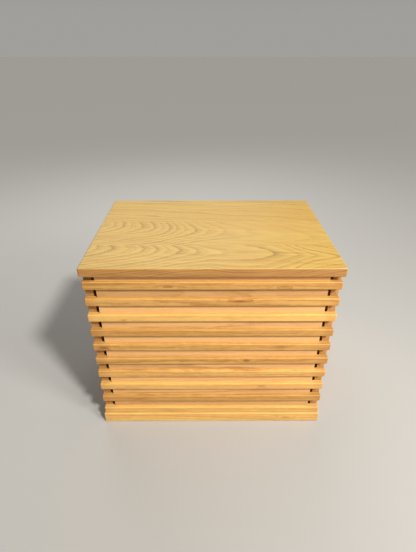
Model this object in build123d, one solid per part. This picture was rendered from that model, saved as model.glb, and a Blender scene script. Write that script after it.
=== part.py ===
from build123d import *
import os

# Stage riser platform: a solid-wood box with a flat top, two plain side panels, and a front wall and a
# back wall built of ribs (slats) with recessed filler strips between them.
# Millimetres, +Z up. The origin is on the floor, under the middle of the top. -Y is the front.

# ---- driving dimensions ----
TOP_WIDTH = 610.0           # along X, the way the grain runs
TOP_DEPTH = 442.0           # along Y
TOP_THICKNESS = 23.0
TOP_PLANK_SHARES = (119.0, 150.0, 173.0)    # plank widths, from the front edge to the back edge
TOP_CORNER_RADIUS = 4.0
TOP_ARRIS = 3.0

OVERHANG = 3.0              # the top and the base rails stand this far out beyond the slats
SLAT_COUNT = 10
SLAT_HEIGHT = 21.0
SLAT_DEPTH = 16.0
SLAT_GAP = 25.0             # clear height between two slats
TOP_GAP = 15.0              # clear height between the uppermost slat and the top
BASE_HEIGHT = 33.0
ARRIS = 3.0                 # rounding of the slats' and base rails' outer edges

FILLER_RECESS = 8.5         # the fillers' faces lie this far behind the slats' faces
FILLER_THICKNESS = 18.0
CORNER_SLOT = 9.5           # open slot between a filler's end and the side panel

SIDE_THICKNESS = 19.0
SIDE_INSET = 1.0            # the side panels' outer faces lie this far inside the slats' ends
SIDE_SEAMS = (158.0, 342.0)  # heights of the glue joints between a side panel's three boards
SIDE_ARRIS = 1.0

CLEAT_WIDTH = 20.0          # across, out from the wall
CLEAT_HEIGHT = 30.0

DOWEL_DIAMETER = 6.0
DOWEL_IN_SLAT = 10.0
DOWEL_IN_SIDE = 20.0
DOWEL_GLUE_SPACE = 1.0      # each dowel hole is this much deeper than its dowel

SCREW_DIAMETER = 4.0
SCREW_HEAD_DIAMETER = 8.0
SCREW_HEAD_HEIGHT = 2.6
SCREW_BITE = 14.0           # length of screw in the piece that it fastens to
RECESS_SPAN = 4.4           # cross recess in the screw's head
RECESS_WIDTH = 1.0
RECESS_DEPTH = 1.8
TOP_SCREW_X = (-220.0, -75.0, 75.0, 220.0)      # up through the front and back cleats
TOP_SCREW_Y = (-130.0, 130.0)                   # up through the side cleats
WALL_SCREW_X = (-150.0, 0.0, 150.0)             # sideways through the front and back cleats
WALL_SCREW_Y = (-60.0, 60.0)                    # sideways through the side cleats

# ---- sizes that follow ----
SLAT_PITCH = SLAT_HEIGHT + SLAT_GAP
SLAT_LENGTH = TOP_WIDTH - 2 * OVERHANG
WALL_HEIGHT = BASE_HEIGHT + SLAT_COUNT * SLAT_HEIGHT + (SLAT_COUNT - 1) * SLAT_GAP + TOP_GAP
SLAT_FACE_Y = -(TOP_DEPTH / 2 - OVERHANG)       # front face of the front slats
SLAT_BACK_Y = SLAT_FACE_Y + SLAT_DEPTH
FILLER_FACE_Y = SLAT_FACE_Y + FILLER_RECESS
FILLER_BACK_Y = FILLER_FACE_Y + FILLER_THICKNESS
SIDE_OUTER_X = SLAT_LENGTH / 2 - SIDE_INSET
SIDE_INNER_X = SIDE_OUTER_X - SIDE_THICKNESS
SIDE_MIDDLE_X = (SIDE_OUTER_X + SIDE_INNER_X) / 2
FILLER_LENGTH = 2 * (SIDE_INNER_X - CORNER_SLOT)
CLEAT_BOTTOM = WALL_HEIGHT - CLEAT_HEIGHT
SIDE_CLEAT_LENGTH = -2 * (FILLER_BACK_Y + CLEAT_WIDTH)


def slat_bottom(number):
    """Height of a slat's underside; slat 1 is the uppermost."""
    return BASE_HEIGHT + (SLAT_COUNT - number) * SLAT_PITCH


def block(low, high):
    """A box between two corners."""
    size = [b - a for a, b in zip(low, high)]
    middle = [(a + b) / 2 for a, b in zip(low, high)]
    return Pos(*middle) * Box(*size)


def outer_face_eased(piece, direction, radius):
    """Round the four edges of the face that looks furthest along a direction."""
    face = piece.faces().sort_by(direction)[-1]
    return fillet(face.edges(), radius)


# ---- the top ----
def top_planks():
    """The top as one eased slab, parted into its edge-glued planks."""
    slab = block((-TOP_WIDTH / 2, -TOP_DEPTH / 2, WALL_HEIGHT),
                 (TOP_WIDTH / 2, TOP_DEPTH / 2, WALL_HEIGHT + TOP_THICKNESS))
    slab = fillet(slab.edges().filter_by(Axis.Z), TOP_CORNER_RADIUS)
    rims = slab.faces().sort_by(Axis.Z)[0].edges() + slab.faces().sort_by(Axis.Z)[-1].edges()
    slab = fillet(rims, TOP_ARRIS)
    planks = []
    start = -TOP_DEPTH / 2
    for share in TOP_PLANK_SHARES:
        stretch = block((-TOP_WIDTH, start, 0), (TOP_WIDTH, start + share, 2 * WALL_HEIGHT))
        planks.append(slab & stretch)
        start += share
    return planks


# ---- the front wall ----
def slat(number):
    bottom = slat_bottom(number)
    bar = block((-SLAT_LENGTH / 2, SLAT_FACE_Y, bottom),
                (SLAT_LENGTH / 2, SLAT_BACK_Y, bottom + SLAT_HEIGHT))
    return outer_face_eased(bar, -Axis.Y, ARRIS)


def base_rail():
    """The taller, thicker rail on the floor, its face and ends in line with the top's edges."""
    bar = block((-TOP_WIDTH / 2, -TOP_DEPTH / 2, 0), (TOP_WIDTH / 2, SLAT_BACK_Y, BASE_HEIGHT))
    return outer_face_eased(bar, -Axis.Y, ARRIS)


def filler(number):
    """The recessed strip that closes the space above a slat."""
    bottom = slat_bottom(number) + SLAT_HEIGHT
    height = TOP_GAP if number == 1 else SLAT_GAP
    return block((-FILLER_LENGTH / 2, FILLER_FACE_Y, bottom),
                 (FILLER_LENGTH / 2, FILLER_BACK_Y, bottom + height))


# ---- the side panels ----
def side_board(low, high):
    """One of a side panel's horizontal boards, on the right; its ends are the panel's front and back."""
    board = block((SIDE_INNER_X, SLAT_BACK_Y, low), (SIDE_OUTER_X, -SLAT_BACK_Y, high))
    rim = board.faces().sort_by(Axis.X)[-1].edges()
    eased = rim.filter_by(Axis.Z)
    if low == 0:
        eased += rim.filter_by(Axis.Y).sort_by(Axis.Z)[:1]
    return fillet(eased, SIDE_ARRIS)


def side_boards():
    heights = (0.0,) + SIDE_SEAMS + (WALL_HEIGHT,)
    return [side_board(low, high) for low, high in zip(heights, heights[1:])]


# ---- dowels that join the slats and base rails to the side panels ----
def dowel_heights():
    middles = [slat_bottom(number) + SLAT_HEIGHT / 2 for number in range(1, SLAT_COUNT + 1)]
    return middles + [BASE_HEIGHT / 2]


def dowel(x, z, extra=0.0):
    """A dowel, or with extra length the hole that it is glued into."""
    length = DOWEL_IN_SLAT + DOWEL_IN_SIDE + 2 * extra
    middle = SLAT_BACK_Y + (DOWEL_IN_SIDE - DOWEL_IN_SLAT) / 2
    return Pos(x, middle, z) * Rot(90, 0, 0) * Cylinder(DOWEL_DIAMETER / 2, length)


def front_dowels(extra=0.0):
    return [dowel(x, z, extra) for z in dowel_heights() for x in (-SIDE_MIDDLE_X, SIDE_MIDDLE_X)]


# ---- cleats under the top ----
def front_cleat():
    return block((-SIDE_INNER_X, FILLER_BACK_Y, CLEAT_BOTTOM),
                 (SIDE_INNER_X, FILLER_BACK_Y + CLEAT_WIDTH, WALL_HEIGHT))


def right_cleat():
    return block((SIDE_INNER_X - CLEAT_WIDTH, -SIDE_CLEAT_LENGTH / 2, CLEAT_BOTTOM),
                 (SIDE_INNER_X, SIDE_CLEAT_LENGTH / 2, WALL_HEIGHT))


# ---- screws ----
def screw(grip, with_recess=True):
    """A countersunk screw that points up, its head flush at height 0; grip is the piece it passes through."""
    length = grip + SCREW_BITE
    shank = Pos(0, 0, length / 2) * Cylinder(SCREW_DIAMETER / 2, length)
    head = Pos(0, 0, SCREW_HEAD_HEIGHT / 2) * Cone(
        SCREW_HEAD_DIAMETER / 2, SCREW_DIAMETER / 2, SCREW_HEAD_HEIGHT)
    body = shank + head
    if not with_recess:
        return body
    bar = Box(RECESS_SPAN, RECESS_WIDTH, 2 * RECESS_DEPTH)
    return body - bar - Rot(0, 0, 90) * bar


def top_screw_places():
    """Screws that point up through the cleats into the top."""
    front_y = FILLER_BACK_Y + CLEAT_WIDTH / 2
    side_x = SIDE_INNER_X - CLEAT_WIDTH / 2
    places = [Pos(x, y, CLEAT_BOTTOM) for x in TOP_SCREW_X for y in (front_y, -front_y)]
    return places + [Pos(x, y, CLEAT_BOTTOM) for y in TOP_SCREW_Y for x in (side_x, -side_x)]


def wall_screw_places():
    """Screws that point outwards through the cleats into the top fillers and the side panels."""
    front_y = FILLER_BACK_Y + CLEAT_WIDTH
    side_x = SIDE_INNER_X - CLEAT_WIDTH
    filler_middle = WALL_HEIGHT - TOP_GAP / 2
    cleat_middle = WALL_HEIGHT - CLEAT_HEIGHT / 2
    places = []
    for x in WALL_SCREW_X:
        places.append(Pos(x, front_y, filler_middle) * Rot(90, 0, 0))
        places.append(Pos(x, -front_y, filler_middle) * Rot(-90, 0, 0))
    for y in WALL_SCREW_Y:
        places.append(Pos(side_x, y, cleat_middle) * Rot(0, 90, 0))
        places.append(Pos(-side_x, y, cleat_middle) * Rot(0, -90, 0))
    return places


def placed_screws(places, grip, with_recess=True):
    shape = screw(grip, with_recess)
    return [place * shape for place in places]


# ---- holes and output ----
def near(piece, tool):
    """Whether two pieces' boxes meet, so that only the holes a piece needs are cut."""
    a = piece.bounding_box()
    b = tool.bounding_box()
    return all(low_a < high_b and low_b < high_a for low_a, high_a, low_b, high_b in (
        (a.min.X, a.max.X, b.min.X, b.max.X),
        (a.min.Y, a.max.Y, b.min.Y, b.max.Y),
        (a.min.Z, a.max.Z, b.min.Z, b.max.Z)))


def drilled(piece, tools):
    for tool in tools:
        if near(piece, tool):
            piece = piece - tool
    return piece


def turned(piece):
    """The same piece on the opposite side of the box."""
    return Rot(0, 0, 180) * piece


def save(name, pieces):
    """Write one node: a single piece, or a group of separate fasteners."""
    solids = [solid for piece in pieces for solid in piece.solids()]
    node = solids[0] if len(solids) == 1 else Compound(children=solids)
    node.label = name
    export_step(node, "parts/" + name + ".step")


def build():
    os.makedirs("parts", exist_ok=True)

    dowels = front_dowels()
    dowel_holes = front_dowels(DOWEL_GLUE_SPACE)
    back_dowel_holes = [turned(hole) for hole in dowel_holes]
    top_screw_holes = placed_screws(top_screw_places(), CLEAT_HEIGHT, with_recess=False)
    wall_screw_holes = placed_screws(wall_screw_places(), CLEAT_WIDTH, with_recess=False)
    screw_holes = top_screw_holes + wall_screw_holes

    for name, plank in zip(("front", "middle", "back"), top_planks()):
        save("top_plank_" + name, [drilled(plank, top_screw_holes)])

    for number in range(1, SLAT_COUNT + 1):
        bar = drilled(slat(number), dowel_holes)
        strip = drilled(filler(number), wall_screw_holes)
        save(f"front_slat_{number:02d}", [bar])
        save(f"back_slat_{number:02d}", [turned(bar)])
        save(f"front_filler_{number:02d}", [strip])
        save(f"back_filler_{number:02d}", [turned(strip)])
    rail = drilled(base_rail(), dowel_holes)
    save("front_base_rail", [rail])
    save("back_base_rail", [turned(rail)])

    for level, board in zip(("lower", "middle", "upper"), side_boards()):
        board = drilled(board, dowel_holes + back_dowel_holes + wall_screw_holes)
        save("right_side_" + level, [board])
        save("left_side_" + level, [turned(board)])

    cleats = {"front_cleat": front_cleat(), "back_cleat": turned(front_cleat()),
              "right_cleat": right_cleat(), "left_cleat": turned(right_cleat())}
    for name, cleat in cleats.items():
        save(name, [drilled(cleat, screw_holes)])

    save("front_dowels", dowels)
    save("back_dowels", [turned(pin) for pin in dowels])
    save("top_screws", placed_screws(top_screw_places(), CLEAT_HEIGHT))
    save("wall_screws", placed_screws(wall_screw_places(), CLEAT_WIDTH))


build()
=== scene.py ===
import bmesh
import bpy
import math
from mathutils import Matrix, Vector


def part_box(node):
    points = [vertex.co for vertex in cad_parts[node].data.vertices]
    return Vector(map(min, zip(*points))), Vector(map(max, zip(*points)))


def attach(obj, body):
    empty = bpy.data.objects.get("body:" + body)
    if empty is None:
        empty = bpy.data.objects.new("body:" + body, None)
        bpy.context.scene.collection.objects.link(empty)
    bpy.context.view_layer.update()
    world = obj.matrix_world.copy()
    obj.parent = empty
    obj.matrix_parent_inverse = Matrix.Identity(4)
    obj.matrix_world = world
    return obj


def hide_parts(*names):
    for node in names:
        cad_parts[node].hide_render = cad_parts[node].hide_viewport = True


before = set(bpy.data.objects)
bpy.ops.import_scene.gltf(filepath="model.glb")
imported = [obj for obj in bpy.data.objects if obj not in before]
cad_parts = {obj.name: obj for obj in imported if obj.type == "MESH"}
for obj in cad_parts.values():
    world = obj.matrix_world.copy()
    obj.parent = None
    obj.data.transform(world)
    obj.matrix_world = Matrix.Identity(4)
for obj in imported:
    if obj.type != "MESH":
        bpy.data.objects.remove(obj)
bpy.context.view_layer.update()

MM = 0.001
BODY = "root"
WALLS = ("front", "back")


# ---------------------------------------------------------------- node writing
OBJECT_PLACE, SHAPE_NORMAL = "Object", "Normal"     # outputs of the texture coordinate node
VECTOR, FACTOR = 1, 2                               # outputs of the attribute node
MIX_FACTOR, MIX_FIRST, MIX_SECOND, MIX_RESULT = 0, 6, 7, 2     # the colour sockets of the mix node
RANDOM_LOW, RANDOM_HIGH, RANDOM_VALUE = 2, 3, 1                # the float sockets of the random value node


class Wire:
    """One output of a node, with arithmetic: every operator adds one Math node."""

    def __init__(self, graph, socket):
        self.graph = graph
        self.socket = socket

    def math(self, operation, *others):
        return self.graph.add("ShaderNodeMath", {"operation": operation}, (self, *others))

    def __add__(self, other):
        return self.math("ADD", other)

    def __sub__(self, other):
        return self.math("SUBTRACT", other)

    def __mul__(self, other):
        return self.math("MULTIPLY", other)

    def __truediv__(self, other):
        return self.math("DIVIDE", other)

    def __pow__(self, other):
        return self.math("POWER", other)

    def __rsub__(self, other):
        return self.graph.add("ShaderNodeMath", {"operation": "SUBTRACT"}, (other, self))

    def __abs__(self):
        return self.math("ABSOLUTE")

    __radd__ = __add__

    def least(self, other):
        return self.math("MINIMUM", other)

    def most(self, other):
        return self.math("MAXIMUM", other)

    def step(self, low, high):
        """0 below low, 1 above high, and smooth between them."""
        return self.graph.add("ShaderNodeMapRange", {"interpolation_type": "SMOOTHSTEP"}, {
            "Value": self, "From Min": low, "From Max": high})

    def parts(self):
        """The x, y and z of a vector."""
        node = self.graph.add("ShaderNodeSeparateXYZ", {}, (self,)).socket.node
        return [Wire(self.graph, out) for out in node.outputs]


class Graph:
    """A node tree and the one method that adds any node to it."""

    def __init__(self, tree):
        self.tree = tree

    def add(self, kind, settings=None, values=(), out=0):
        """Add a node: its settings first, then its sockets' values or links. Gives the wire of one output."""
        node = self.tree.nodes.new(kind)
        for name, value in (settings or {}).items():
            setattr(node, name, value)
        pairs = values.items() if isinstance(values, dict) else enumerate(values)
        for name, value in pairs:
            if isinstance(value, Wire):
                self.tree.links.new(value.socket, node.inputs[name])
            else:
                node.inputs[name].default_value = value
        return Wire(self, node.outputs[out]) if node.outputs else node

    def vector(self, operation, *values, out=0):
        return self.add("ShaderNodeVectorMath", {"operation": operation}, values, out)

    def scaled(self, vector, factors):
        return self.vector("MULTIPLY", vector, factors)

    def joined(self, x, y, z):
        return self.add("ShaderNodeCombineXYZ", {}, (x, y, z))

    def attribute(self, name, out):
        return self.add("ShaderNodeAttribute", {"attribute_name": name}, out=out)

    def curve(self, value, stops):
        """A smooth curve through stops, each (value, result)."""
        start, end = stops[0][0], stops[-1][0]
        results = [result for place, result in stops]
        low, high = min(results), max(results)
        node = self.add("ShaderNodeFloatCurve", {}, {"Value": (value - start) / (end - start)}).socket.node
        points = node.mapping.curves[0].points
        spots = [((place - start) / (end - start), (result - low) / (high - low)) for place, result in stops]
        points[0].location, points[-1].location = spots[0], spots[-1]
        for spot in spots[1:-1]:
            points.new(*spot)
        node.mapping.update()
        return Wire(self, node.outputs[0]) * (high - low) + low

    def noise(self, vector, fineness, detail=2.0, roughness=0.55):
        """Noise from 0 to 1 that varies as finely along x, y and z as fineness says, per metre."""
        return self.add("ShaderNodeTexNoise", {}, {
            "Vector": self.scaled(vector, fineness), "Scale": 1.0, "Detail": detail, "Roughness": roughness},
            out="Fac")

    def mixed(self, amount, first, second, blend="MIX"):
        """A blend of two colours, each a wire or an (r, g, b)."""
        settings = {"data_type": "RGBA", "blend_type": blend, "clamp_factor": True}
        colours = {socket: colour if isinstance(colour, Wire) else (*colour, 1.0)
                   for socket, colour in ((MIX_FIRST, first), (MIX_SECOND, second))}
        return self.add("ShaderNodeMix", settings, {MIX_FACTOR: amount, **colours}, out=MIX_RESULT)


def new_material(name):
    """An empty material and the graph of its nodes."""
    material = bpy.data.materials.new(name)
    material.use_nodes = True
    material.node_tree.nodes.clear()
    return material, Graph(material.node_tree)


def placed(name, data):
    """A new object in the scene, at the origin."""
    thing = bpy.data.objects.new(name, data)
    bpy.context.scene.collection.objects.link(thing)
    return thing


def toned(colour, *factors):
    """A colour times one factor, or times a factor for each of its parts, and never above white."""
    factors = factors * len(colour) if len(factors) == 1 else factors
    return tuple(min(1.0, part * factor) for part, factor in zip(colour, factors))


# ---------------------------------------------------------------- wood
# how finely the marks of the wood vary, per metre along, across and through the log
SLOW_WAVES = (4, 22, 22)
QUICK_WAVES = (22, 120, 120)
FIBRES = (12, 420, 420)
STREAKS_ALONG = 2.2
FLUSHES = (2.5, 14, 14)
PORES = (90, 1500, 1500)
MOTTLES = (42, 110, 110)
EDGE_AND_END_PATCHES = (30, 60, 60)

RING_WEIGHT, FIBRE_WEIGHT = 0.85, 0.45      # how far rings and fibres darken the wood
LINE_RISE = 8                               # a ring's dark line comes in over one part in this many
SECOND_LINE = 0.55                          # where in the ring a second line lies
BLUSHED = (0.42, 0.78)                      # noise between which a blush comes in
OPEN_PORES = (0.58, 0.72)                   # noise between which a pore opens
KNOT_CORE = (0.1, 0.8)                      # how far out from a knot's centre its core fades
END_GRAIN = (0.6, 0.95)                     # a face this square to the log has none or all end grain
UPRIGHT = (0.3, 0.85)                       # a face this level has all or none of the painted shade of upright faces
WORN_HIGHLIT_REACH, WORN_HIGHLIT_RAGGED = (0.2, 2.8), 3.0   # millimetres from an edge, for lighter edges that are wear and painted highlight
SOAKED_REACH, SOAKED_RAGGED = (2.0, 34.0), 40.0     # millimetres from an end
LOOSE_PITH = (0.3, 0.09, 0.05)              # the log's middle, for wood placed by the object's own axes
KNOT_LIFT = 2.5                             # rings that a knot of full strength pushes aside


def knot_marks(g, place, knots):
    """How far each knot (centre, half size, strength, lift) swells the rings, and how dark its core is."""
    swell, core = None, None
    for centre, size, strength, lift in knots:
        away = g.scaled(g.vector("SUBTRACT", place, centre), [1 / half for half in size])
        reach = g.vector("LENGTH", away, out="Value")
        bulge = (reach * reach * -1).math("EXPONENT") * lift
        dark = (1 - reach.step(*KNOT_CORE)) * strength
        swell = bulge if swell is None else swell + bulge
        core = dark if core is None else core.most(dark)
    return swell, core


def oak(name, pale, dark, blush, ring, axis=(1, 0, 0), stored=True, climbs=None, spreads=None,
        strengths=None, flare=0.0, wander=3.2, ragged=0.6, fade=3.0, knots=(), streak_width=60, streaks=1.1,
        mottle=0.0, end_soak=0.0, end_depth=0.6, upright_shade=None, contrast=1.0, gloss=0.44):
    """Oiled oak. ring is the width of a year ring, and axis the direction of the board's length.

    climbs lists (place along, rings climbed by there) for a board with arched figure, spreads lists (place
    along, how closely its rings lie across), strengths lists (place along, how dark its rings are), and flare
    packs them closer away from the middle of the arches.
    wander and ragged bend the rings slowly and quickly, and fade says how soon a ring's dark line dies out.
    stored is for pieces that carry their place in the log; other wood goes by the object's own axes.
    """
    material, g = new_material(name)
    place = g.add("ShaderNodeTexCoord", out=OBJECT_PLACE)
    if stored:
        log, local, half = (g.attribute(key, VECTOR) for key in ("log", "local", "half"))
        lean, tone = (g.attribute(key, FACTOR) for key in ("lean", "tone"))
    else:
        log = g.add("ShaderNodeMapping", {}, {"Vector": place, "Location": LOOSE_PITH})
        lean = 0.0
    along, across, through = log.parts()

    # year rings: distance from the pith in ring widths, bent by slow and quick waves
    slow = (g.noise(log, SLOW_WAVES) - 0.5) * wander
    quick = (g.noise(log, QUICK_WAVES) - 0.5) * ragged
    rings = (across * across + through * through).math("SQRT") / ring
    if climbs:
        rings = (rings - abs(through) / ring + across * across * flare) * g.curve(along, spreads)
        rings = rings + g.curve(along, climbs)
    phase = rings + lean + slow + quick
    swell, core = knot_marks(g, place, knots)
    if knots:
        phase = phase + swell
    share = phase.math("FRACT")
    number = phase.math("FLOOR")
    lively = (number * 2.3 + 2.02).math("SINE") * 0.5 + 0.5     # some rings are darker than others
    doubled = (number * 1.7 - 0.905).math("SINE") * 0.5 + 0.5   # and some have a second, fainter line
    second = (1 - abs(share - SECOND_LINE) * LINE_RISE).most(0.0) * doubled
    early = (share * LINE_RISE).least(1.0) * (1 - share) ** fade * (lively * 0.9 + 0.6) + second * 0.35
    if strengths:
        early = early * g.curve(along, strengths)

    # fibres, streaks, blushes and open pores
    fibre = g.noise(log, FIBRES, 2.0, 0.6)
    streak = g.noise(log, (STREAKS_ALONG, streak_width, streak_width), 3.0, 0.6)
    flush = g.noise(log, FLUSHES, 2.0, 0.5)
    pores = g.noise(log, PORES, 1.0, 0.5).step(*OPEN_PORES) * (early * 1.2 + 0.15)
    facing = abs(g.vector("DOT_PRODUCT", g.add("ShaderNodeTexCoord", out=SHAPE_NORMAL), axis, out="Value"))
    end = facing.step(*END_GRAIN)

    shade = (early * RING_WEIGHT + (streak - 0.5) * streaks + (fibre - 0.5) * FIBRE_WEIGHT) * contrast
    if mottle:
        shade = shade + (g.noise(log, MOTTLES, 3.0, 0.6) - 0.5) * mottle
    colour = g.mixed((shade + 0.12).least(1.0).most(0.0), pale, dark)
    colour = g.mixed(flush.step(*BLUSHED) * 0.55, colour, blush)
    colour = g.mixed(pores * 0.6, colour, toned(dark, 0.5))
    if knots:
        colour = g.mixed((core * 0.75 + swell * 0.08).least(1.0), colour, toned(dark, 0.62, 0.42, 0.45))
    colour = g.mixed(end * end_depth, colour, toned(dark, 0.6))
    # painted shade: upright faces are multiplied darker than level ones
    if upright_shade:
        level = abs(g.add("ShaderNodeTexCoord", out=SHAPE_NORMAL).parts()[2])
        colour = g.mixed(1 - level.step(*UPRIGHT), colour, upright_shade, blend="MULTIPLY")
    rough = gloss + (fibre - 0.5) * 0.12 + pores * 0.3 + end * 0.15
    if stored:
        # lighter edges (wear, with a painted highlight along the arrises), oil drawn in at the ends, and each
        # piece's own tone
        lx, ly, lz = g.vector("SUBTRACT", half, g.vector("ABSOLUTE", local)).parts()
        to_edge = lx.least(ly).most(lx.most(ly).least(lz))    # the middle one of the distances to a face
        patchy = g.noise(log, EDGE_AND_END_PATCHES)
        worn_and_highlit = 1 - (to_edge / MM - (patchy - 0.5) * WORN_HIGHLIT_RAGGED).step(*WORN_HIGHLIT_REACH)
        soaked = 1 - (lx / MM + (patchy - 0.5) * SOAKED_RAGGED).step(*SOAKED_REACH)
        colour = g.mixed(soaked * end_soak, colour, toned(dark, 1.0, 0.85, 0.85))
        # painted highlight along with wear: a lighter band along every edge
        colour = g.mixed(worn_and_highlit * 0.30, colour, toned(pale, 1.2))
        colour = g.mixed(tone.most(0.0) * 0.5, colour, toned(pale, 1.18))
        colour = g.mixed((tone * -1).most(0.0) * 0.5, colour, toned(dark, 0.9))
        rough = rough - worn_and_highlit * 0.08
    height = fibre * 0.05 - pores * 0.5 - early * 0.15
    bump = g.add("ShaderNodeBump", {}, {"Strength": 0.35, "Distance": 0.6 * MM, "Height": height})
    shader = g.add("ShaderNodeBsdfPrincipled", {}, {
        "Base Color": colour, "Roughness": rough, "Normal": bump, "Specular IOR Level": 0.3,
        "Coat Weight": 0.06, "Coat Roughness": 0.30})
    g.add("ShaderNodeOutputMaterial", {}, {"Surface": shader})
    return material


def knots_at(places, wall_face):
    """Knots of the front wall from (node, place along, height in the node, half size, strength)."""
    marks = []
    for node, along, up, size, strength in places:
        low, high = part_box(node)
        centre = (along, wall_face, low.z + up * (high.z - low.z))
        marks.append((centre, size, strength, KNOT_LIFT * strength))
    return marks


# each wood's tones are pale, dark and blush
TOP_TONES = (0.60, 0.400, 0.105), (0.355, 0.206, 0.044), (0.545, 0.319, 0.079)
# painted shade that darkens the upright faces of the top planks
TOP_UPRIGHT_SHADE = (0.83, 0.635, 0.76)
SLAT_TONES = (0.78, 0.482, 0.142), (0.44, 0.213, 0.051), (0.64, 0.327, 0.085)
# painted shade that makes the upright faces of the slats a little darker and more orange
SLAT_UPRIGHT_SHADE = (0.98, 0.90, 0.88)
FILLER_TONES = (0.77, 0.45, 0.182), (0.48, 0.246, 0.084), (0.64, 0.325, 0.116)
SIDE_TONES = (0.68, 0.37, 0.125), (0.40, 0.175, 0.050), (0.58, 0.28, 0.085)
CLEAT_TONES = (0.66, 0.45, 0.21), (0.42, 0.26, 0.10), (0.58, 0.36, 0.15)
DOWEL_TONES = (0.74, 0.54, 0.33), (0.56, 0.36, 0.19), (0.68, 0.46, 0.26)

# a darker patch in the middle plank: centre, half size, strength, lift
TOP_PATCH = ((0.048, -0.045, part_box("top_plank_middle")[1].z), (0.050, 0.030, 0.030), 0.20, 0.3)
TOP_FIGURES = {
    "front": {
        "ring": 0.024, "flare": 250, "wander": 0.7, "ragged": 0.35, "streaks": 1.5,
        "climbs": ((-0.305, -1.5), (-0.253, 0), (-0.211, 1), (-0.174, 2), (-0.139, 3), (-0.113, 4),
                   (-0.083, 5), (-0.039, 6), (0.017, 7), (0.118, 7.55), (0.145, 8), (0.172, 8.45), (0.203, 9),
                   (0.244, 10), (0.305, 11.2)),
        "spreads": ((-0.305, 1.0), (-0.020, 0.9), (0.060, 0.45), (0.150, 0.50), (0.220, 0.9), (0.305, 1.2))},
    "middle": {
        "ring": 0.030, "flare": 150, "wander": 0.9, "ragged": 0.5, "knots": [TOP_PATCH],
        "climbs": ((-0.305, -2), (-0.250, 0), (-0.200, 2), (-0.165, 3), (-0.050, 8), (0.030, 10),
                   (0.070, 10.6), (0.305, 14)),
        "spreads": ((-0.305, 1.0), (-0.050, 1.1), (0.050, 1.0), (0.305, 0.9)),
        "strengths": ((-0.305, 0.9), (-0.120, 1.0), (0.0, 0.9), (0.080, 0.35), (0.305, 0.45))},
    "back": {
        "ring": 0.014, "wander": 2.6, "streaks": 1.7,
        "climbs": ((-0.305, 0), (0.0, 1.2), (0.305, 1.5)),
        "spreads": ((-0.305, 1.3), (0.305, 1.0))},
}
top_oaks = {share: oak("top_oak_" + share, *TOP_TONES, upright_shade=TOP_UPRIGHT_SHADE, contrast=0.95,
                       streak_width=100, **figure)
            for share, figure in TOP_FIGURES.items()}

# node, place along, height in the node, half size, strength
FRONT_KNOTS = (
    ("front_slat_01", -0.103, 0.5, (0.024, 0.008, 0.006), 0.55),
    ("front_slat_01", 0.167, 0.4, (0.022, 0.008, 0.006), 0.55),
    ("front_slat_02", 0.065, 0.7, (0.040, 0.008, 0.007), 0.95),
    ("front_slat_03", -0.215, 0.25, (0.010, 0.006, 0.004), 1.00),
    ("front_slat_05", 0.174, 0.5, (0.045, 0.008, 0.009), 0.55),
    ("front_slat_05", -0.275, 0.5, (0.030, 0.008, 0.010), 0.90),
    ("front_slat_06", 0.090, 0.6, (0.016, 0.008, 0.008), 1.00),
    ("front_slat_08", 0.135, 0.6, (0.018, 0.008, 0.008), 0.95),
    ("front_slat_09", -0.199, 0.5, (0.050, 0.008, 0.008), 0.55),
    # slat 10's wide knot bends the rings, and its darkening of the slat's middle-left is painted shade
    ("front_slat_10", -0.110, 0.5, (0.060, 0.008, 0.008), 0.50),
    ("front_base_rail", 0.212, 0.45, (0.028, 0.008, 0.008), 1.00),
)
slat_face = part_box("front_slat_01")[0].y
slat_oak = oak("slat_oak", *SLAT_TONES, ring=0.0040, knots=knots_at(FRONT_KNOTS, slat_face), contrast=1.05,
               fade=2.2, wander=1.8, streak_width=170, streaks=2.0, mottle=1.2, end_soak=0.45,
               upright_shade=SLAT_UPRIGHT_SHADE)
filler_oak = oak("filler_oak", *FILLER_TONES, ring=0.0040, wander=1.4, contrast=0.85, streak_width=190,
                 streaks=1.8, mottle=0.5)
side_oak = oak("side_oak", *SIDE_TONES, ring=0.0075, axis=(0, 1, 0), end_depth=0.35)
cleat_oak = oak("cleat_oak", *CLEAT_TONES, ring=0.0040, stored=False)
dowel_wood = oak("dowel_wood", *DOWEL_TONES, ring=0.0015, stored=False, contrast=0.7)


ZINC, DULL_ZINC = (0.62, 0.62, 0.60), (0.40, 0.39, 0.36)
DULL_SPOTS, TURNING_MARKS = (400, 400, 400), (300, 300, 4000)       # how finely they vary, per metre


def steel():
    """Zinc-plated screw steel with fine turning marks and a few dull spots."""
    material, g = new_material("screw_steel")
    place = g.add("ShaderNodeTexCoord", out=OBJECT_PLACE)
    spots = g.noise(place, DULL_SPOTS, 3.0)
    marks = g.noise(place, TURNING_MARKS)
    colour = g.mixed(spots.step(0.5, 0.7), ZINC, DULL_ZINC)
    bump = g.add("ShaderNodeBump", {}, {"Strength": 0.2, "Distance": 0.2 * MM, "Height": marks})
    shader = g.add("ShaderNodeBsdfPrincipled", {}, {
        "Base Color": colour, "Metallic": 1.0, "Roughness": 0.28 + spots * 0.25, "Normal": bump})
    g.add("ShaderNodeOutputMaterial", {}, {"Surface": shader})
    return material


FINISHES = {"cleat": cleat_oak, "dowels": dowel_wood, "screws": steel()}
for node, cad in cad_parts.items():
    for ending, finish in FINISHES.items():
        if node.endswith(ending):
            cad.data.materials.clear()
            cad.data.materials.append(finish)


# ---------------------------------------------------------------- bars of the walls
ARRIS, FILLER_ARRIS = 3.0 * MM, 0.3 * MM
SLAT_SEED, FILLER_SEED, RAIL_SEED = 11, 23, 37
BAR_POINTS = 8      # along each edge of a bar, four towards either end
EDGE_SPREAD = (BAR_POINTS - 1) / (BAR_POINTS - 2)     # spreads those four evenly over the arris
WALL_SALT = 100     # keeps the draws of the second wall apart from those of the first


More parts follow.
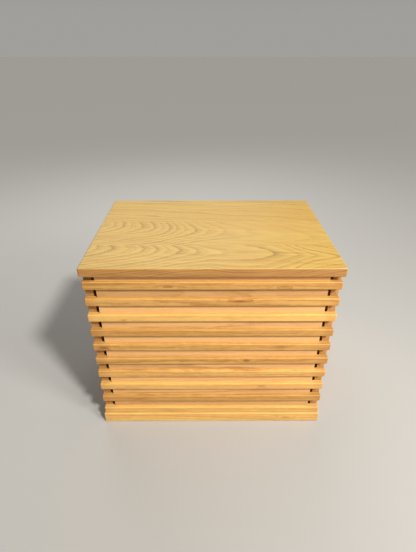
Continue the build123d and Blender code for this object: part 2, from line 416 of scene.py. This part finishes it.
def bars_tree():
    """Geometry Nodes: a stack of eased bars on each wall, with what their wood needs stored on them."""
    tree = bpy.data.node_groups.new("bars", "GeometryNodeTree")
    tree.is_modifier = True
    kinds = {"Count": "NodeSocketInt", "Pitch": "NodeSocketFloat", "Lowest": "NodeSocketFloat",
             "Length": "NodeSocketFloat", "Depth": "NodeSocketFloat", "Height": "NodeSocketFloat",
             "Last Height": "NodeSocketFloat", "Face": "NodeSocketFloat", "Arris": "NodeSocketFloat",
             "Seed": "NodeSocketInt", "Material": "NodeSocketMaterial"}
    for name, kind in kinds.items():
        tree.interface.new_socket(name, in_out="INPUT", socket_type=kind)
    tree.interface.new_socket("Geometry", in_out="OUTPUT", socket_type="NodeSocketGeometry")
    g = Graph(tree)
    entry = g.add("NodeGroupInput").socket.node
    given = {name: Wire(g, entry.outputs[name]) for name in kinds}

    def store(geometry, name, value, kind="FLOAT_VECTOR"):
        return g.add("GeometryNodeStoreNamedAttribute", {"data_type": kind, "domain": "POINT"}, {
            "Geometry": geometry, "Name": name, "Value": value})

    def recall(name, kind="FLOAT_VECTOR"):
        return g.add("GeometryNodeInputNamedAttribute", {"data_type": kind}, {"Name": name})

    def chance(low, high, salt):
        return g.add("FunctionNodeRandomValue", {"data_type": "FLOAT"}, {
            RANDOM_LOW: low, RANDOM_HIGH: high, "Seed": given["Seed"] + salt}, out=RANDOM_VALUE)

    stacks = []
    for wall, turn in enumerate((0.0, math.pi)):
        salt = WALL_SALT * wall
        index = g.add("GeometryNodeInputIndex")
        last = g.add("ShaderNodeMath", {"operation": "COMPARE"}, (index, given["Count"] - 1, 0.1))
        height = given["Height"] + (given["Last Height"] - given["Height"]) * last
        line = g.add("GeometryNodeMeshLine", {"mode": "OFFSET"}, {
            "Count": given["Count"], "Offset": g.joined(0.0, 0.0, given["Pitch"])})
        half = g.scaled(g.joined(given["Length"], given["Depth"], height), (0.5, 0.5, 0.5))
        seat = g.joined(0.0, given["Face"] + given["Depth"] * 0.5,
                        given["Lowest"] + index * given["Pitch"] + height * 0.5)
        points = store(line, "half", half)
        points = store(points, "seat", seat)
        points = store(points, "tone", chance(-1.0, 1.0, salt + 1), "FLOAT")
        pith = g.joined(chance(-2.0, 2.0, salt + 2), chance(0.03, 0.16, salt + 3), 0.0)
        points = store(points, "pith", pith)
        points = store(points, "turn", chance(0.0, 2 * math.pi, salt + 4), "FLOAT")
        points = store(points, "skew", chance(-0.03, 0.03, salt + 5), "FLOAT")
        cube = g.add("GeometryNodeMeshCube", {}, {
            "Size": (2.0, 2.0, 2.0),
            "Vertices X": BAR_POINTS, "Vertices Y": BAR_POINTS, "Vertices Z": BAR_POINTS})
        cube = store(cube, "unit", g.add("GeometryNodeInputPosition"))
        bars = g.add("GeometryNodeInstanceOnPoints", {}, {"Points": points, "Instance": cube})
        bars = g.add("GeometryNodeRealizeInstances", {}, {"Geometry": bars})

        # ease the edges: pull each point back to the inner box and out again by the arris
        unit, size = recall("unit"), recall("half")
        arris = g.joined(given["Arris"], given["Arris"], given["Arris"])
        from_face = g.vector("SUBTRACT", (1, 1, 1), g.vector("ABSOLUTE", unit))
        inset = g.vector("MINIMUM", g.scaled(from_face, (EDGE_SPREAD, EDGE_SPREAD, EDGE_SPREAD)), (1, 1, 1))
        plain = g.vector("SUBTRACT", size, g.scaled(inset, arris))
        core = g.vector("MINIMUM", plain, g.vector("SUBTRACT", size, arris))
        outward = g.vector("NORMALIZE", g.vector("SUBTRACT", plain, core))
        sign = g.vector("SIGN", unit)
        local = g.scaled(g.vector("ADD", core, g.scaled(outward, arris)), sign)
        bars = store(bars, "local", local)
        bars = g.add("GeometryNodeSetPosition", {}, {
            "Geometry": bars, "Position": g.vector("ADD", recall("local"), recall("seat"))})

        # the place in the log: each bar is sawn a little askew, at its own turn and distance from the pith
        skewed = g.add("ShaderNodeVectorRotate", {"rotation_type": "Z_AXIS"}, {
            "Vector": recall("local"), "Angle": recall("skew", "FLOAT")})
        turned = g.add("ShaderNodeVectorRotate", {"rotation_type": "X_AXIS"}, {
            "Vector": skewed, "Angle": recall("turn", "FLOAT")})
        bars = store(bars, "log", g.vector("ADD", turned, recall("pith")))
        stacks.append(g.add("GeometryNodeTransform", {}, {"Geometry": bars, "Rotation": (0.0, 0.0, turn)}))
    both = g.add("GeometryNodeJoinGeometry", {}, {"Geometry": stacks[0]})
    tree.links.new(stacks[1].socket, both.socket.node.inputs[0])
    smooth = g.add("GeometryNodeSetShadeSmooth", {}, {"Geometry": both})
    real = g.add("GeometryNodeRealizeInstances", {}, {"Geometry": smooth})
    dressed = g.add("GeometryNodeSetMaterial", {}, {"Geometry": real, "Material": given["Material"]})
    g.add("NodeGroupOutput", {}, {"Geometry": dressed})
    return tree


def plain_mesh(name, tree, values):
    """Run a Geometry Nodes tree with these input values and keep the result as an ordinary mesh object."""
    holder = placed(name + "_holder", bpy.data.meshes.new(name + "_holder"))
    modifier = holder.modifiers.new("nodes", "NODES")
    modifier.node_group = tree
    for item in tree.interface.items_tree:
        if item.in_out == "INPUT":
            modifier[item.identifier] = values[item.name]
    graph = bpy.context.evaluated_depsgraph_get()
    mesh = bpy.data.meshes.new_from_object(holder.evaluated_get(graph), preserve_all_data_layers=True,
                                           depsgraph=graph)
    bpy.data.objects.remove(holder)
    mesh.name = name
    return placed(name, mesh)


def finish_piece(piece, nodes):
    """Even out the shading at the eased edges, then tie the piece to its body and hide the CAD nodes it
    replaces.
    """
    weighting = piece.modifiers.new("weighting", "WEIGHTED_NORMAL")
    weighting.keep_sharp = True
    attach(piece, BODY)
    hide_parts(*nodes)


def numbered(kind):
    """The numbered CAD nodes of one kind, on both walls."""
    return sorted(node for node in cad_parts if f"_{kind}_" in node)


def stack_values(lowest, second, last, count, arris, seed, material):
    """Inputs of the bars' tree, measured on the lowest, second and last CAD bars of the front wall."""
    low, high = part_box(lowest)
    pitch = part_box(second)[0].z - low.z if second else 0.0
    last_low, last_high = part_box(last)
    return {"Count": count, "Pitch": pitch, "Lowest": low.z, "Length": high.x - low.x,
            "Depth": high.y - low.y, "Height": high.z - low.z, "Last Height": last_high.z - last_low.z,
            "Face": low.y, "Arris": arris, "Seed": seed, "Material": material}


bars = bars_tree()
slat_nodes, filler_nodes = numbered("slat"), numbered("filler")
per_wall = len(slat_nodes) // len(WALLS)
slats = plain_mesh("slats", bars, stack_values(
    f"front_slat_{per_wall:02d}", f"front_slat_{per_wall - 1:02d}", "front_slat_01", per_wall,
    ARRIS, SLAT_SEED, slat_oak))
finish_piece(slats, slat_nodes)
fillers = plain_mesh("fillers", bars, stack_values(
    f"front_filler_{per_wall:02d}", f"front_filler_{per_wall - 1:02d}", "front_filler_01", per_wall,
    FILLER_ARRIS, FILLER_SEED, filler_oak))
finish_piece(fillers, filler_nodes)
rails = plain_mesh("base_rails", bars, stack_values(
    "front_base_rail", None, "front_base_rail", 1, ARRIS, RAIL_SEED, slat_oak))
finish_piece(rails, [wall + "_base_rail" for wall in WALLS])


# ---------------------------------------------------------------- planks and side boards
SAME_PLACE = 1e-6                      # points of the CAD mesh closer than this are one point
FLAT_ANGLE = math.radians(0.5)         # faces that meet at less than this are one flat face
SHARP_ANGLE = math.radians(35)         # edges above this stay sharp
# how far each board's sides are moved and widened in its own measures, so that a glued side gets no lighter
# edge of wear and painted highlight
GLUED_SIDE_SHIFT = {"first": (-0.05, 0.05), "between": (0.0, 0.10), "last": (0.05, 0.05)}
UNTURNED = Matrix.Identity(3)
UPENDED = Matrix(((0, 1, 0), (0, 0, 1), (1, 0, 0)))    # a side board's length, width and thickness


def merged_copy(name, node):
    """A copy of a CAD mesh with its points merged, flat faces joined, and smooth but for its sharp edges."""
    shape = bmesh.new()
    shape.from_mesh(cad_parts[node].data)
    bmesh.ops.remove_doubles(shape, verts=shape.verts, dist=SAME_PLACE)
    bmesh.ops.dissolve_limit(shape, angle_limit=FLAT_ANGLE, verts=shape.verts, edges=shape.edges)
    bmesh.ops.triangulate(shape, faces=[face for face in shape.faces if len(face.verts) > 4])
    for face in shape.faces:
        face.smooth = True
    for edge in shape.edges:
        edge.smooth = len(edge.link_faces) == 2 and edge.calc_face_angle() < SHARP_ANGLE
    mesh = bpy.data.meshes.new(name)
    shape.to_mesh(mesh)
    shape.free()
    return mesh


def dressed_board(node, name, material, order, pith, slopes, leans, tone=0.0, turn=UNTURNED):
    """A merged copy of a CAD board with its place in the log stored on it.

    pith is the middle of the log from the board's centre, across and above, and slopes how far it moves
    across and down for each metre along. leans is the rings crossed per metre across and down the board.
    order says which of a panel's boards it is.
    """
    mesh = merged_copy(name, node)
    low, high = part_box(node)
    centre, half = (low + high) / 2, (high - low) / 2
    half_turned = Vector([abs(part) for part in turn @ half])
    shift, wider = GLUED_SIDE_SHIFT[order]
    store = mesh.attributes
    for key, kind in (("log", "FLOAT_VECTOR"), ("local", "FLOAT_VECTOR"), ("half", "FLOAT_VECTOR"),
                      ("tone", "FLOAT"), ("lean", "FLOAT")):
        store.new(key, kind, "POINT")
    for vertex in mesh.vertices:
        local = turn @ (vertex.co - centre)
        depth = half_turned.z - local.z
        across = local.y - pith[0] - slopes[0] * local.x
        store["log"].data[vertex.index].vector = (local.x, across, pith[1] - slopes[1] * local.x + depth)
        store["lean"].data[vertex.index].value = leans[0] * across + leans[1] * depth
        store["local"].data[vertex.index].vector = local + Vector((0.0, shift, 0.0))
        store["half"].data[vertex.index].vector = half_turned + Vector((0.0, wider, 0.0))
        store["tone"].data[vertex.index].value = tone
    mesh.materials.append(material)
    finish_piece(placed(name, mesh), [node])


# share, order, pith (across, above), slopes (across, down), leans (across, down)
TOP_PLANKS = (
    ("front", "first", (0.021, 0.016), (-0.076, 0.070), (-4, 180)),
    ("middle", "between", (-0.004, 0.030), (-0.16, 0.0), (-20, 180)),
    ("back", "last", (0.20, 0.050), (-0.06, 0.0), (0, 180)),
)
for share, order, pith, slopes, leans in TOP_PLANKS:
    dressed_board("top_plank_" + share, "top_board_" + share, top_oaks[share], order, pith,
                  slopes, leans)

# share, order, pith, tone
SIDE_BOARDS = (
    ("lower", "first", (0.0, 0.02), -0.2),
    ("middle", "between", (0.02, 0.02), 0.2),
    ("upper", "last", (0.04, 0.02), 0.0),
)
SIDE_SLOPES, SIDE_LEANS = (0.03, 0.0), (20, 180)
for side in ("left", "right"):
    for share, order, pith, tone in SIDE_BOARDS:
        dressed_board(f"{side}_side_{share}", f"{side}_side_board_{share}", side_oak, order,
                      pith, SIDE_SLOPES, SIDE_LEANS, tone, UPENDED)


# ---------------------------------------------------------------- floor, light and camera
LIT_CENTRE = (0.0, 0.0, 0.25)
WARM, FAINTLY_WARM, PALE_WARM = (1.0, 0.95, 0.88), (1.0, 0.96, 0.90), (1.0, 0.98, 0.94)
FLOOR_REACH = 30.0
FLOOR_TONE = (0.45, 0.45, 0.44, 1)
HORIZON, OVERHEAD = (0.355, 0.35, 0.33), (0.145, 0.138, 0.127)
HORIZON_HEIGHTS = (0.03, 0.30)      # where the horizon's tone ends and the overhead one is reached


def aimed(data, place):
    """A light at this place, pointing at the middle of the object."""
    light = placed(data.name, data)
    light.location = place
    light.rotation_euler = (Vector(LIT_CENTRE) - Vector(place)).to_track_quat("-Z", "Y").to_euler()


def sun(name, place, strength, softness, colour):
    """Even light from the side of this place. softness is how many degrees of the sky it fills."""
    data = bpy.data.lights.new(name, "SUN")
    data.energy = strength
    data.angle = math.radians(softness)
    data.color = colour
    aimed(data, place)


def panel(name, place, size, watts, colour):
    """A softbox of this width and height."""
    data = bpy.data.lights.new(name, "AREA")
    data.shape = "RECTANGLE"
    data.size, data.size_y = size
    data.energy = watts
    data.color = colour
    aimed(data, place)


def floor_piece():
    """A wide pale floor at the height that the object stands on."""
    mesh = bpy.data.meshes.new("floor")
    corners = [(x * FLOOR_REACH, y * FLOOR_REACH, 0) for x, y in ((-1, -1), (1, -1), (1, 1), (-1, 1))]
    mesh.from_pydata(corners, [], [(0, 1, 2, 3)])
    floor = placed("floor", mesh)
    material = bpy.data.materials.new("pale_floor")
    material.use_nodes = True
    shader = material.node_tree.nodes["Principled BSDF"]
    shader.inputs["Base Color"].default_value = FLOOR_TONE
    shader.inputs["Roughness"].default_value = 0.8
    mesh.materials.append(material)


def studio_air():
    """A world that meets the far floor in its own tone and is dimmer overhead."""
    world = bpy.data.worlds.new("studio")
    bpy.context.scene.world = world
    world.use_nodes = True
    g = Graph(world.node_tree)
    height = g.add("ShaderNodeTexCoord").parts()[2]
    colour = g.mixed(height.step(*HORIZON_HEIGHTS), HORIZON, OVERHEAD)
    world.node_tree.links.new(colour.socket, world.node_tree.nodes["Background"].inputs["Color"])


floor_piece()
sun("key", (1.10, -1.20, 1.85), 2.8, 7.0, FAINTLY_WARM)
panel("side", (1.00, -0.95, 1.25), (0.4, 0.4), 18, WARM)
panel("rear", (-0.30, 1.50, 1.9), (1.8, 1.4), 21, PALE_WARM)
studio_air()

bpy.context.scene.view_settings.view_transform = "Standard"

CAMERA_SPOT = (-0.0122, -0.9935, 0.9444)
CAMERA_TILT, CAMERA_TURN = 30.63, -0.16     # degrees below the horizon, and to the left
LENS, SENSOR_WIDTH = 25.9, 36.0             # millimetres
NEAREST_SEEN = 0.01
camera_data = bpy.data.cameras.new("camera")
camera_data.lens = LENS
camera_data.sensor_width = SENSOR_WIDTH
camera_data.clip_start = NEAREST_SEEN
camera = placed("camera", camera_data)
camera.location = CAMERA_SPOT
camera.rotation_euler = (math.radians(90 - CAMERA_TILT), 0.0, math.radians(CAMERA_TURN))
bpy.context.scene.camera = camera
